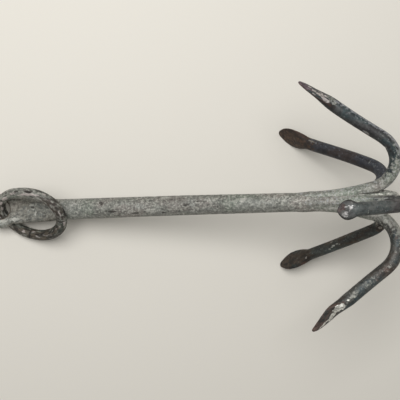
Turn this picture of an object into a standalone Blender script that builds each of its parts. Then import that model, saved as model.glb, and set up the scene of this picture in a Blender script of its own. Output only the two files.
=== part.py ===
"""A hand-forged grapnel anchor with five tines and a loose ring in its eye, lying as it comes to rest.

The shank lies along +X with its eye end low at -X and its crown raised, held up by the two lower tines.
Every tine is a round bar with its root scarfed to the shank, bent back, and drawn out into a flat spade.
"""

import math

import bmesh
import bpy
import numpy as np
from mathutils import Vector

# Driving dimensions: metres, and degrees where the name says so.
SHANK_RISE_DEG = 13.73
EYE_CENTRE = Vector((-0.2522, 0.0057, 0.0190))
EYE_TWIST_DEG = 8.0
EYE_RADIUS = 0.0245
EYE_OFFSET = 0.0014
EYE_OFFSET_FADE = 0.045
EYE_HALF_THICKNESS = 0.0053
HOLE_RADIUS = 0.0120
SHANK_END = 0.540

BAR_RADIUS = 0.0080
ROOT_RADIUS = 0.0060
FLARE_LENGTH = 0.086
FLARE_ANGLE_DEG = 14.9
TINES = {
    "tine_top": dict(around=-4.4, start=0.4342, bend=0.0391, hook=34.8, arm=0.0723, curl=6.5,
                     head=0.0236, spade=0.030, twist=0.0),
    "tine_left_upper": dict(around=70.0, start=0.4227, bend=0.0364, hook=36.6, arm=0.1207, curl=-0.8,
                            head=0.0260, spade=0.058, twist=-5.0),
    "tine_left_lower": dict(around=137.6, start=0.4141, bend=0.0270, hook=32.7, arm=0.1543, curl=0.2,
                            head=0.0290, spade=0.058, twist=0.0),
    "tine_right_lower": dict(around=-140.6, start=0.4132, bend=0.0240, hook=34.6, arm=0.1552, curl=6.0,
                             head=0.0290, spade=0.058, twist=0.0),
    "tine_right_upper": dict(around=-75.6, start=0.4202, bend=0.0392, hook=38.7, arm=0.1168, curl=-3.6,
                             head=0.0280, spade=0.060, twist=24.0),
}

RING_WIRE_RADIUS = 0.00715
RING_WORN_RADIUS = 0.0064
RING_WORN_AT_DEG = 174.0
RING_WORN_HALF_SPAN_DEG = (32.0, 62.0)
RING_LONG_RADIUS = 0.0497
RING_SHORT_RADIUS = 0.0391
RING_CENTRE_FROM_EYE = Vector((0.0442, -0.0073, 0.0194))
RING_TILT_DEG = 46.3
RING_UPHILL_DEG = 56.7
RING_OVAL_DEG = 37.7

JOINT_GAP = 0.0003
SECTOR_REACH = 0.30
SECTOR_SPAN = (0.25, 0.62)
SPADE_MARGIN = 0.004
SHANK_SIDES = 20
HOLE_SIDES = 32
TINE_SIDES = 12
FLARE_STEPS = 7
BEND_STEPS = 14
ARM_STEPS = 12
RING_SIDES = 14
RING_STATIONS = 44

# Sections of the shank: round the eye's end by angle from the end, then by distance from the eye's centre.
EYE_END_ANGLES_DEG = (8, 17, 28, 40, 53, 67, 82, 98, 115, 132)
SHANK_STATIONS = (0.026, 0.032, 0.042, 0.052, 0.064, 0.078, 0.095, 0.115, 0.140, 0.170, 0.300, 0.420,
                  0.450, 0.470, 0.490, 0.515, 0.522, 0.530, 0.536)
# Distances from the eye's centre, and the shank's half-width, half-thickness and sideways bow there.
SHANK_WIDTH_POINTS = ((0.017, 0.026, 0.040, 0.062, 0.085, 0.120, 0.420, 0.450,
                       0.490, 0.515, 0.522, 0.530, 0.536, 0.540),
                      (0.0180, 0.0172, 0.0170, 0.0162, 0.0147, 0.0143, 0.0125, 0.0124,
                       0.0134, 0.0135, 0.0131, 0.0112, 0.0084, 0.0045))
SHANK_DEPTH_POINTS = ((0.032, 0.042, 0.060, 0.090, 0.130, 0.170, 0.420, 0.450,
                       0.490, 0.515, 0.522, 0.530, 0.536, 0.540),
                      (0.0053, 0.0062, 0.0080, 0.0098, 0.0126, 0.0140, 0.0125, 0.0124,
                       0.0134, 0.0135, 0.0131, 0.0112, 0.0084, 0.0045))
SHANK_CROOK_POINTS = ((0.0, 0.030, 0.075, 0.130, 0.260), (0.0, -0.0008, -0.0016, -0.0011, 0.0))
# Shares of a spade's length from its tip, its half-thickness there, and its share of the widest half-width.
HEAD_PROFILE = ((0.00, 0.06, 0.17, 0.31, 0.45, 0.62, 0.81, 1.00),
                (0.0012, 0.0018, 0.0020, 0.0023, 0.0030, 0.0048, 0.0070, 0.0080),
                (0.14, 0.32, 0.66, 0.92, 1.00, 0.90, 0.68, 0.56))


def clear_scene():
    for obj in list(bpy.data.objects):
        bpy.data.objects.remove(obj)


def shank_frame():
    """Along the shank, to its left, and out of its upper side, with the eye's twist left out."""
    rise = math.radians(SHANK_RISE_DEG)
    along = Vector((math.cos(rise), 0.0, math.sin(rise)))
    left = Vector((0.0, 1.0, 0.0))
    return along, left, along.cross(left)


def twisted(left, above):
    """The eye's own left and upper directions, turned about the shank by the eye's twist."""
    twist = math.radians(EYE_TWIST_DEG)
    return (left * math.cos(twist) - above * math.sin(twist),
            above * math.cos(twist) + left * math.sin(twist))


def material(name, colour, metallic, roughness):
    finish = bpy.data.materials.new(name)
    finish.use_nodes = True
    shader = finish.node_tree.nodes["Principled BSDF"]
    shader.inputs["Base Color"].default_value = (*colour, 1.0)
    shader.inputs["Metallic"].default_value = metallic
    shader.inputs["Roughness"].default_value = roughness
    return finish


def loft(name, sections, closed=False):
    """A mesh object through rings of points: capped at both ends, or joined last to first."""
    bm = bmesh.new()
    rings = [[bm.verts.new(point) for point in section] for section in sections]
    pairs = list(zip(rings, rings[1:]))
    if closed:
        pairs.append((rings[-1], rings[0]))
    for first, second in pairs:
        for i in range(len(first)):
            j = (i + 1) % len(first)
            bm.faces.new((first[i], first[j], second[j], second[i]))
    if not closed:
        bm.faces.new(list(reversed(rings[0])))
        bm.faces.new(rings[-1])
    bmesh.ops.recalc_face_normals(bm, faces=bm.faces)
    mesh = bpy.data.meshes.new(name)
    bm.to_mesh(mesh)
    bm.free()
    obj = bpy.data.objects.new(name, mesh)
    bpy.context.scene.collection.objects.link(obj)
    return obj


def as_cutter(obj):
    obj.hide_render = True
    obj.display_type = "WIRE"
    return obj


def boolean(obj, operation, other):
    modifier = obj.modifiers.new(f"{operation.lower()}_{other.name}", "BOOLEAN")
    modifier.operation = operation
    modifier.object = other
    modifier.solver = "EXACT"


def finish_piece(obj, finish):
    obj.data.materials.append(finish)
    obj.data.shade_smooth()
    obj.data.set_sharp_from_angle(angle=math.radians(40.0))
    return obj


def rounded_section(centre, across, up, half_width, half_depth, sides):
    """A flat-sided oval: straight top and bottom, and round edges as deep as the section."""
    straight = max(half_width - half_depth, 0.0)
    width_scale = half_width / (straight + half_depth)
    points = []
    for i in range(sides):
        angle = 2.0 * math.pi * (i + 0.5) / sides
        side = math.copysign(straight, math.cos(angle))
        x = (side + half_depth * math.cos(angle)) * width_scale
        points.append(centre + across * x + up * half_depth * math.sin(angle))
    return points


def shank_size(distance, grow=0.0):
    """Half-width and half-thickness of the shank; the eye end is a disc with rounded edges."""
    inside = EYE_RADIUS ** 2 - distance ** 2
    width = float(np.interp(distance, *SHANK_WIDTH_POINTS))
    depth = float(np.interp(distance, *SHANK_DEPTH_POINTS))
    if inside > 0.0 and distance < SHANK_WIDTH_POINTS[0][0]:
        width = math.sqrt(inside)
    from_end = distance + EYE_RADIUS
    if from_end < EYE_HALF_THICKNESS:
        depth = math.sqrt(EYE_HALF_THICKNESS ** 2 - (EYE_HALF_THICKNESS - from_end) ** 2)
    return width + grow, depth + grow


def make_shank(frame, name="shank", grow=0.0):
    along, left, above = frame
    eye_left, eye_above = twisted(left, above)
    disc = [-EYE_RADIUS * math.cos(math.radians(angle)) for angle in EYE_END_ANGLES_DEG]
    stations = disc + list(SHANK_STATIONS) + [SHANK_END]
    sections = []
    for distance in stations:
        width, depth = shank_size(distance, grow)
        offset = -EYE_OFFSET * float(np.interp(distance, (0.0, EYE_OFFSET_FADE), (1.0, 0.0)))
        crook = float(np.interp(distance, *SHANK_CROOK_POINTS))
        centre = EYE_CENTRE + along * (distance + (grow if distance == SHANK_END else 0.0))
        middle = centre + eye_left * (offset + crook)
        sections.append(rounded_section(middle, eye_left, eye_above, width, depth, SHANK_SIDES))
    return loft(name, sections)


def make_hole_cutter(frame):
    """A waisted drum: the eye's hole is narrowest in the middle and flares out to both faces."""
    along, left, above = frame
    eye_left, eye_above = twisted(left, above)
    flare = EYE_HALF_THICKNESS
    sections = []
    for level in (-1.5, -1.0, -0.8, -0.5, 0.0, 0.5, 0.8, 1.0, 1.5):
        inside = min(abs(level), 1.0)
        radius = HOLE_RADIUS + flare * (1.0 - math.sqrt(1.0 - inside ** 2))
        centre = EYE_CENTRE + eye_above * (flare * level)
        angles = [2.0 * math.pi * i / HOLE_SIDES for i in range(HOLE_SIDES)]
        spokes = [along * math.cos(angle) + eye_left * math.sin(angle) for angle in angles]
        sections.append([centre + spoke * radius for spoke in spokes])
    return as_cutter(loft("hole_cutter", sections))


def tine_path(tine):
    """Points (along, out) of a tine's centreline with its direction: a flare, a bend and a curled arm."""
    flared = math.radians(FLARE_ANGLE_DEG)
    turned = math.radians(180.0 - tine["hook"])
    curled = turned + math.radians(tine["curl"])
    steps = [(FLARE_LENGTH, 0.0, flared, FLARE_STEPS),
             (tine["bend"] * (turned - flared), flared, turned, BEND_STEPS),
             (tine["arm"], turned, curled, ARM_STEPS)]
    along, out, path = tine["start"], ROOT_RADIUS, [(tine["start"], ROOT_RADIUS, 0.0)]
    for length, first, last, count in steps:
        for i in range(count):
            angle = first + (last - first) * (i + 0.5) / count
            along += length / count * math.cos(angle)
            out += length / count * math.sin(angle)
            path.append((along, out, first + (last - first) * (i + 1) / count))
    return path


def make_tine(name, tine, frame):
    along, left, above = frame
    around = math.radians(tine["around"])
    outward = above * math.cos(around) + left * math.sin(around)
    across = left * math.cos(around) - above * math.sin(around)
    path = tine_path(tine)
    points = [EYE_CENTRE + along * s + outward * r for s, r, _ in path]
    lengths = [0.0]
    for first, second in zip(points, points[1:]):
        lengths.append(lengths[-1] + (second - first).length)
    rows = list(zip(points, path, lengths))
    # The spade's stations replace the last stretch of the arm, and turn with its twist towards the tip.
    rows = [row for row in rows if row[2] < lengths[-1] - tine["spade"] - SPADE_MARGIN]
    sections = []
    for point, (_, _, angle), _ in rows:
        normal = outward * math.cos(angle) - along * math.sin(angle)
        sections.append(oval_section(point, across, normal, BAR_RADIUS, BAR_RADIUS))
    for share_of_length in reversed(HEAD_PROFILE[0]):
        thick = float(np.interp(share_of_length, HEAD_PROFILE[0], HEAD_PROFILE[1]))
        wide = 0.5 * tine["head"] * float(np.interp(share_of_length, HEAD_PROFILE[0], HEAD_PROFILE[2]))
        wide = BAR_RADIUS if share_of_length == 1.0 else wide
        at = lengths[-1] - share_of_length * tine["spade"]
        angle = float(np.interp(at, lengths, [p[2] for p in path]))
        normal = outward * math.cos(angle) - along * math.sin(angle)
        twist = math.radians(tine["twist"]) * (1.0 - share_of_length)
        turned_across = across * math.cos(twist) + normal * math.sin(twist)
        turned_normal = normal * math.cos(twist) - across * math.sin(twist)
        point = point_at(points, lengths, at)
        sections.append(oval_section(point, turned_across, turned_normal, wide, thick))
    return loft(name, sections)


def point_at(points, lengths, distance):
    coordinates = [float(np.interp(distance, lengths, [p[i] for p in points])) for i in range(3)]
    return Vector(coordinates)


def oval_section(centre, across, up, half_width, half_depth):
    angles = [2.0 * math.pi * (i + 0.5) / TINE_SIDES for i in range(TINE_SIDES)]
    return [centre + across * half_width * math.cos(a) + up * half_depth * math.sin(a) for a in angles]


def make_wedge(name, frame, first_deg, second_deg):
    """The sector of space round the shank that one tine's root fills, half a joint gap inside each side."""
    along, left, above = frame
    first, second = math.radians(first_deg), math.radians(second_deg)
    middle = 0.5 * (first + second)
    inset = 0.5 * JOINT_GAP / math.sin(0.5 * (second - first))

    def outward(angle, radius):
        return (above * math.cos(angle) + left * math.sin(angle)) * radius

    corner = outward(middle, inset)
    outline = [corner, corner + outward(first, SECTOR_REACH), corner + outward(middle, 1.5 * SECTOR_REACH),
               corner + outward(second, SECTOR_REACH)]
    sections = [[EYE_CENTRE + along * distance + point for point in outline] for distance in SECTOR_SPAN]
    return as_cutter(loft(name, sections))


def wire_radius(angle_deg):
    """The ring's wire, worn thinner where it bears in the eye."""
    off = abs((angle_deg - RING_WORN_AT_DEG + 180.0) % 360.0 - 180.0)
    first, last = RING_WORN_HALF_SPAN_DEG
    blend = min(max((off - first) / (last - first), 0.0), 1.0)
    blend = blend * blend * (3.0 - 2.0 * blend)
    return RING_WORN_RADIUS + (RING_WIRE_RADIUS - RING_WORN_RADIUS) * blend


def make_ring():
    """A closed oval of round wire, tilted up from the ground, with its origin on the eye hole's axis."""
    tilt, uphill, oval = (math.radians(a) for a in (RING_TILT_DEG, RING_UPHILL_DEG, RING_OVAL_DEG))
    level = Vector((math.sin(uphill), -math.cos(uphill), 0.0))
    climb = Vector((math.cos(uphill) * math.cos(tilt), math.sin(uphill) * math.cos(tilt), math.sin(tilt)))
    axis = level.cross(climb)
    centre = RING_CENTRE_FROM_EYE
    long_axis = level * math.cos(oval) + climb * math.sin(oval)
    short_axis = climb * math.cos(oval) - level * math.sin(oval)
    long_side = long_axis * RING_LONG_RADIUS
    short_side = short_axis * RING_SHORT_RADIUS
    turns = [2.0 * math.pi * (j + 0.5) / RING_SIDES for j in range(RING_SIDES)]
    sections = []
    for i in range(RING_STATIONS):
        angle = 2.0 * math.pi * i / RING_STATIONS
        point = centre + long_side * math.cos(angle) + short_side * math.sin(angle)
        tangent = short_side * math.cos(angle) - long_side * math.sin(angle)
        outward = tangent.normalized().cross(axis)
        radius = wire_radius(math.degrees(angle))
        sections.append([point + (outward * math.cos(t) + axis * math.sin(t)) * radius for t in turns])
    ring = loft("ring", sections, closed=True)
    ring.location = EYE_CENTRE
    return ring


def main():
    clear_scene()
    frame = shank_frame()
    zinc = material("weathered_zinc", (0.36, 0.38, 0.36), 0.55, 0.62)
    dark = material("dark_patina", (0.10, 0.12, 0.13), 0.6, 0.55)
    crust = material("crusted_zinc", (0.27, 0.27, 0.26), 0.4, 0.75)

    shank = make_shank(frame)
    boolean(shank, "DIFFERENCE", make_hole_cutter(frame))
    finish_piece(shank, zinc)

    seat = as_cutter(make_shank(frame, "shank_seat", JOINT_GAP))
    angles = {name: tine["around"] for name, tine in TINES.items()}
    order = sorted(angles, key=angles.get)
    for i, name in enumerate(order):
        before = angles[order[i - 1]] - (360.0 if i == 0 else 0.0)
        after = angles[order[(i + 1) % len(order)]] + (360.0 if i == len(order) - 1 else 0.0)
        tine = make_tine(name, TINES[name], frame)
        sides = (0.5 * (before + angles[name]), 0.5 * (angles[name] + after))
        wedge = make_wedge(f"{name}_sector", frame, *sides)
        boolean(tine, "INTERSECT", wedge)
        boolean(tine, "DIFFERENCE", seat)
        finish_piece(tine, dark)

    finish_piece(make_ring(), crust)


main()
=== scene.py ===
import math

import bpy
import numpy as np
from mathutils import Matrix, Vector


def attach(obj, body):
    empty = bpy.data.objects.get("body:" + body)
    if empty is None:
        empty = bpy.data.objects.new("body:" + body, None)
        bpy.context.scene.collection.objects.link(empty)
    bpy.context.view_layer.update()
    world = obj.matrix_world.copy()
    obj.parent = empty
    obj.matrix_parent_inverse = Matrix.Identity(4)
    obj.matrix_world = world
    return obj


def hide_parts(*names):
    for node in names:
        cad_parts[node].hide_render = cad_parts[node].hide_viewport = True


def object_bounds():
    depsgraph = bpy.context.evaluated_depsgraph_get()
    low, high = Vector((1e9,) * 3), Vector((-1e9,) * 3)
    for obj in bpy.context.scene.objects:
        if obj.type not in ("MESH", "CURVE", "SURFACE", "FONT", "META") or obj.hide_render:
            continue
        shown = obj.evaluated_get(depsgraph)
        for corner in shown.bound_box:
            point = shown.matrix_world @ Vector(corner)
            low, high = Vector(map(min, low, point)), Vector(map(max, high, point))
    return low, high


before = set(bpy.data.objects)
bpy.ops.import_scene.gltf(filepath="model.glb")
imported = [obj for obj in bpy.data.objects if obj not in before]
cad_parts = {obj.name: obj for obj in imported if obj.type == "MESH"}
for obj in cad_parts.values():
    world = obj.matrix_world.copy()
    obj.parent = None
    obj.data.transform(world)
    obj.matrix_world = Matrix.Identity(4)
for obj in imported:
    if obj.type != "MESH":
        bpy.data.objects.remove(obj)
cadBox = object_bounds()
print("frame loaded:", ", ".join(sorted(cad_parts)))

millimetre = 0.001
# lengths are kept above this before they divide
tiny = 1e-12


def rising(value, low, high, strength=1.0):
    # cubic step: 0 below low, the strength above high, 3t^2 - 2t^3 of it between
    share = np.clip((value - low) / (high - low), 0.0, 1.0)
    return strength * (share * share * (3.0 - 2.0 * share))


def falling(value, low, high, strength=1.0):
    # the same step downwards: the strength below low, 0 above high
    return strength * (1.0 - rising(value, low, high))


def running(values, width):
    # moving average over an odd number of entries, with the ends held
    padded = np.pad(values, width // 2, mode="edge")
    return np.convolve(padded, np.ones(width) / width, mode="valid")


# a cubic lattice of random numbers, turned so that its rows never line up with a bar
latticeSide, latticeSeed = 40, 5
lattice = np.random.default_rng(latticeSeed).random((latticeSide,) * 3) * 2.0 - 1.0
latticeTurn = np.array([[0.36, 0.48, -0.80], [-0.80, 0.60, 0.00], [0.48, 0.64, 0.60]])
# a seed of one shifts the lattice by the first; each finer octave's seed is higher by the second
seedShift, octaveSeeds = 3.17, 5


def softNoise(points, size, seed):
    # value noise from -1 to 1: the lattice's numbers at this spacing, blended between them by the step
    place = points @ latticeTurn / size + seed * seedShift
    low = np.floor(place).astype(int)
    share = rising(place - low, 0.0, 1.0)
    total = np.zeros(points.shape[:-1])
    for corner in np.ndindex(2, 2, 2):
        i, j, k = np.moveaxis((low + corner) % latticeSide, -1, 0)
        total += np.prod(np.where(corner, share, 1.0 - share), axis=-1) * lattice[i, j, k]
    return total


def roughNoise(points, size, seed, octaves=2):
    # value noise plus the same at half the size and half the weight, and so on
    weights = 0.5 ** np.arange(octaves)
    layers = [softNoise(points, size * w, seed + octaveSeeds * n) * w for n, w in enumerate(weights)]
    return np.sum(layers, axis=0) / np.sqrt(np.sum(weights ** 2))


def grained(points, values, key):
    # a piece's noise, listed as (size, seed, octaves, level, strength): noise less the level, times strength
    size, seed, octaves, level, strength = values[key]
    return strength * (roughNoise(points, size, values["seed"] + seed, octaves) - level)


def patches(points, values, key):
    # a piece's patches, listed as (size, seed, low, high, strength): the step of rough noise
    size, seed, *step = values[key]
    return rising(roughNoise(points, size, values["seed"] + seed), *step)


def most(*layers):
    # the greatest of several layers at each point
    return np.max(np.broadcast_arrays(*layers), axis=0)


def wrapped(value, lap=360.0):
    # the value less as many whole laps as leave it between minus and plus half a lap
    return (value + 0.5 * lap) % lap - 0.5 * lap


# a spot is full inside the first share of its oval and gone outside the second
spotEdge = (0.55, 1.15)
spotRagged = 0.35
# so long a lap that nothing comes round again
noLap = 1e6


def spots(along, across, marks, ragged, lap=noLap):
    # each mark is (along, across, half-length, half-width, strength) and a slant if it lies askew: its spot
    # falls with the distance from its middle in half-sizes, plus noise; with a lap, along is degrees too
    total = np.zeros(along.shape)
    for atAlong, atAcross, length, width, strength, *askew in marks:
        slant = askew[0] if askew else 0.0
        first = wrapped(along - atAlong, lap)
        second = wrapped(across - atAcross - slant * first)
        reach = np.sqrt((first / length) ** 2 + (second / width) ** 2) + spotRagged * ragged
        total = np.maximum(total, falling(reach, *spotEdge, strength))
    return total


def middlesOf(turn, sides):
    # the middles of a turn's equal parts
    return turn * (np.arange(sides) + 0.5) / sides


def unit(vectors):
    # each vector divided by its own length
    return vectors / np.maximum(np.linalg.norm(vectors, axis=-1, keepdims=True), tiny)


def stadium(width, depth, sides):
    # a flat-sided oval walked at even speed: straight runs of width less depth, round ends of radius depth
    run = np.maximum(width - depth, 0.0)[:, None]
    radius = depth[:, None]
    length = 4.0 * run + 2.0 * math.pi * radius
    walked = middlesOf(1.0, sides)[None, :] * length
    corner = 0.5 * math.pi * radius
    top = np.clip(walked - corner, 0.0, 2.0 * run)
    bottom = np.clip(walked - 3.0 * corner - 2.0 * run, 0.0, 2.0 * run)
    turn = (walked - top - bottom) / np.maximum(radius, tiny)
    narrowed = width / np.maximum(run[:, 0] + depth, tiny)
    return (run - top + bottom + radius * np.cos(turn)) * narrowed[:, None], radius * np.sin(turn)


def ovals(width, depth, sides):
    # ellipses: width times the cosine, depth times the sine
    turn = middlesOf(2.0 * math.pi, sides)
    return width[:, None] * np.cos(turn), depth[:, None] * np.sin(turn)


def carried(centres, across, up, profile):
    # the profile carried along a path: each row is its centre plus x times across plus y times up
    x, y = profile
    across, up = (np.broadcast_to(way, centres.shape)[:, None] for way in (across, up))
    return centres[:, None] + x[..., None] * across + y[..., None] * up


def outwardOf(grid, closedPath):
    # unit normals of a grid: the cross product of its differences along and around, turned outwards
    if closedPath:
        along = np.roll(grid, -1, axis=0) - np.roll(grid, 1, axis=0)
    else:
        along = np.gradient(grid, axis=0)
    around = np.roll(grid, -1, axis=1) - np.roll(grid, 1, axis=1)
    normal = unit(np.cross(around, along))
    centre = grid.mean(axis=1, keepdims=True)
    return normal * np.sign(np.sum(normal * (grid - centre), axis=(1, 2)).sum())


def meshFromGrid(name, grid, closedPath, layers):
    # quads between neighbouring rows, and a fan to a middle point at each open end
    rows, sides = grid.shape[:2]
    index = np.arange(rows * sides).reshape(rows, sides)
    beside = np.roll(index, -1, axis=1)
    if closedPath:
        following, diagonal = np.roll(index, -1, axis=0), np.roll(beside, -1, axis=0)
    else:
        following, diagonal, index, beside = index[1:], beside[1:], index[:-1], beside[:-1]
    faces = np.stack([index, beside, diagonal, following], axis=-1).reshape(-1, 4)
    points = grid.reshape(-1, 3)
    corners = points[faces]
    volume = np.sum(corners[:, 0] * np.cross(corners[:, 1], corners[:, 2] + corners[:, 3]))
    inward = volume < 0.0
    faces = faces[:, ::-1].tolist() if inward else faces.tolist()
    layers = {key: value.reshape(rows * sides, -1) for key, value in layers.items()}
    if not closedPath:
        first, last = np.arange(sides), np.arange(sides) + (rows - 1) * sides
        for ring, turnedIn, middle in ((first, not inward, len(points)), (last, inward, len(points) + 1)):
            ring = ring if turnedIn else ring[::-1]
            fan = np.stack([np.roll(ring, -1), ring, np.full(sides, middle)], axis=-1)
            faces += fan.tolist()
        points = np.concatenate([points, [points[first].mean(axis=0), points[last].mean(axis=0)]])
        for key, value in layers.items():
            layers[key] = np.concatenate([value, [value[first].mean(axis=0), value[last].mean(axis=0)]])
    return meshObject(name, points, faces, layers)


def placed(name, data):
    # a new object in the scene
    thing = bpy.data.objects.new(name, data)
    bpy.context.scene.collection.objects.link(thing)
    return thing


def meshObject(name, points, faces, layers):
    # a smooth-shaded mesh in the scene, with its layers
    mesh = bpy.data.meshes.new(name)
    mesh.from_pydata(points.tolist(), [], faces)
    mesh.shade_smooth()
    piece = placed(name, mesh)
    writeLayers(piece, layers)
    return piece


def writeLayers(piece, layers):
    # numbers go to float layers, places to vector layers
    for key, value in layers.items():
        values = np.ascontiguousarray(value, np.float32).reshape(len(piece.data.vertices), -1)
        isPlace = values.shape[1] == 3
        layer = piece.data.attributes.new(key, "FLOAT_VECTOR" if isPlace else "FLOAT", "POINT")
        layer.data.foreach_set("vector" if isPlace else "value", values.ravel())


def insideBox(points):
    # each coordinate clipped to the model's own box, so that no point passes it
    return np.clip(points, np.array(cadBox[0]), np.array(cadBox[1]))


# the way the shank lies, which every other piece is set out from
layout = {
    "riseDegrees": 13.73,
    "eyeCentre": (-0.2522, 0.0057, 0.0190),
    "eyeTwistDegrees": 8.0,
}
rise = math.radians(layout["riseDegrees"])
eyeTwist = math.radians(layout["eyeTwistDegrees"])
eyeCentre = np.array(layout["eyeCentre"])
alongShank = np.array([math.cos(rise), 0.0, math.sin(rise)])
leftOfShank = np.array([0.0, 1.0, 0.0])
aboveShank = np.cross(alongShank, leftOfShank)
eyeLeft = leftOfShank * math.cos(eyeTwist) - aboveShank * math.sin(eyeTwist)
eyeAbove = aboveShank * math.cos(eyeTwist) + leftOfShank * math.sin(eyeTwist)

# the camera hangs a metre over the object, looks straight down and is turned a little about its own axis
cameraValues = {"place": (0.0249, 0.0120, 1.080), "turnDegrees": -1.57, "lens": 68.1, "sensor": 36.0}
camera = placed("camera", bpy.data.cameras.new("camera"))
camera.location = cameraValues["place"]
camera.rotation_euler = (0.0, 0.0, math.radians(cameraValues["turnDegrees"]))
camera.data.lens = cameraValues["lens"]
camera.data.sensor_width = cameraValues["sensor"]
bpy.context.scene.camera = camera

# "At" tables: distances from the eye's centre, then the half-size, bow or tone there; bands such as "bar":
# from where, to where and how strongly something rises or falls; marks: along and to the left in millimetres
shankValues = {
    "eyeRadius": 0.0245, "eyeHalfThickness": 0.0053, "holeRadius": 0.012, "end": 0.54, "endRound": 0.0102,
    "eyeOffset": 0.0014, "eyeOffsetFade": 0.045,
    "widthAt": ((0.017, 0.026, 0.04, 0.062, 0.085, 0.12, 0.42, 0.45, 0.49, 0.515, 0.522, 0.53),
                (0.0186, 0.0182, 0.0178, 0.0166, 0.0148, 0.0143,
                 0.0125, 0.0124, 0.0134, 0.0135, 0.0131, 0.0112)),
    "depthAt": ((0.032, 0.042, 0.06, 0.09, 0.13, 0.17, 0.42, 0.45, 0.49, 0.515, 0.522, 0.53),
                (0.0053, 0.0062, 0.008, 0.0098, 0.0126, 0.014,
                 0.0125, 0.0124, 0.0134, 0.0135, 0.0131, 0.0112)),
    "crookAt": ((0, 0.03, 0.075, 0.13, 0.26), (0, -0.0008, -0.0016, -0.0011, 0)),
    "toneAt": ((0, 0.1, 0.13, 0.28, 0.34, 0.4, 0.46, 0.54),
               (1, 1, 0.87, 0.85, 0.94, 1, 1.18, 1.34)),
    "sides": 96, "step": 0.0009, "evenFrom": 0.02, "blendOver": 15, "crownLine": (0.4, 0.536, 0.0015),
    "eyeTurns": (2, 60, 26), "endTurns": (0, 88, 20), "drumReach": 1.6, "drumLevels": 33,
    "stretch": (0.45, 1, 1), "pitDepth": 0.0003,
    "holeRim": (0.0128, 0.0165), "holeShade": (0.0124, 0.0143, 1.1), "bar": (0.06, 0.1),
    "bladeSmooth": (0.06, 0.1, 0.7), "rubbedFrom": (-0.004, 0.024, 0.62), "rubbedTo": (0.075, 0.105),
    "bladeCalm": (0.105, 0.15, 0.9), "crownUneven": (0.38, 0.45, 0.6), "chalk": (0.43, 0.5, 0.3),
    "crown": (0.478, 0.505), "pitSoil": 0.6875, "pitThinning": 0.35, "creaseSoilAndShade": 0.9, "paleShare": 0.9,
    "seed": 0, "ragged": (0.0035, 3, 2, 0, 1), "lumps": (0.028, 1, 2, 1, 0.00022),
    "crust": (0.0042, 2, 3, 1, 0.00014), "cloud": (0.04, 15, 2, 0, 0.06),
    "pitPatches": (0.006, 9, 0.45, 0.95, 0.8), "palePatches": (0.011, 44, 0.15, 0.75, 0.42),
    "soilPatches": (0.01, 45, 0.2, 0.8, 0.42), "calmPatches": (0.018, 33, -0.1, 0.5),
    "pits": (
        (152, 3.9, 4, 3, 0.7), (269, -0.5, 6, 3, 0.7, 0.1), (238, 4.5, 9, 1.6, 0.6),
        (516, -0.8, 14, 0.8, 1), (168, -8.1, 8, 1.5, 1), (199, -10.4, 7, 1.2, 0.9),
        (238, -10.5, 4, 1.4, 0.8), (267, -2, 3.5, 2.2, 0.8), (152, 1.4, 3, 1.2, 0.7),
        (434, 1.2, 4.5, 3, 1), (49, 1.7, 5.5, 1.5, 1), (65.5, -11.2, 6.5, 1, 0.8), (77, -9, 3, 0.8, 0.5),
        (385, -8, 6, 1.2, 0.7, 0.1), (318, 9, 9, 1.2, 0.6), (128, 3.5, 6, 1.2, 0.6, 0.3),
        (36, 8, 14, 0.8, 0.5, 0.1), (30, -3, 7, 0.7, 0.4), (60, 7.5, 10, 0.8, 0.5, -0.2),
        (248, 6, 8, 1.4, 0.6, 0.2), (286, 3, 9, 1.2, 0.6, -0.1), (350, -9.5, 12, 1, 0.6),
        (410, 7.5, 8, 1.2, 0.6, -0.1)),
    "bright": (
        (241, 9.8, 8, 1.8, 0.9), (195, -7.3, 3, 2.8, 0.9), (222, -7.2, 8, 3, 0.9),
        (119, 5.7, 10, 5, 0.6, 0.1), (204, 11, 9, 1.6, 0.6), (279, -7.3, 9, 3, 0.6),
        (344, 3.6, 6.5, 3.4, 1), (54, -6.2, 1.8, 5, 0.9), (48.5, 4.6, 6.5, 1.3, 1), (50, -1.2, 5, 1, 0.7),
        (22, -14.5, 9, 3.6, 0.8), (3, -15.5, 9, 5, 0.9), (402, 3, 8, 4, 0.6),
        (511, 4.2, 22, 1.5, 1, -0.05), (112, 4, 6, 5, 0.5, 0.2), (42, -4, 4, 3, 0.5, 0.2),
        (178, 2, 9, 3, 0.5), (300, 5, 9, 3, 0.5, 0.1), (452, -6, 7, 3, 0.6)),
}


def shankStations(values):
    # equal turns round the eye, minus its radius times the cosine, then even steps, then equal turns round
    # the crown's end; neither end quite closes
    radius, endRound = values["eyeRadius"], values["endRound"]
    start = -radius * np.cos(np.radians(np.linspace(*values["eyeTurns"])))
    rest = np.arange(start[-1] + values["step"], values["end"] - endRound, values["step"])
    turns = np.radians(np.linspace(*values["endTurns"]))
    end = values["end"] - endRound * (1.0 - np.sin(turns))
    return np.concatenate([start, rest, end])


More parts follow.
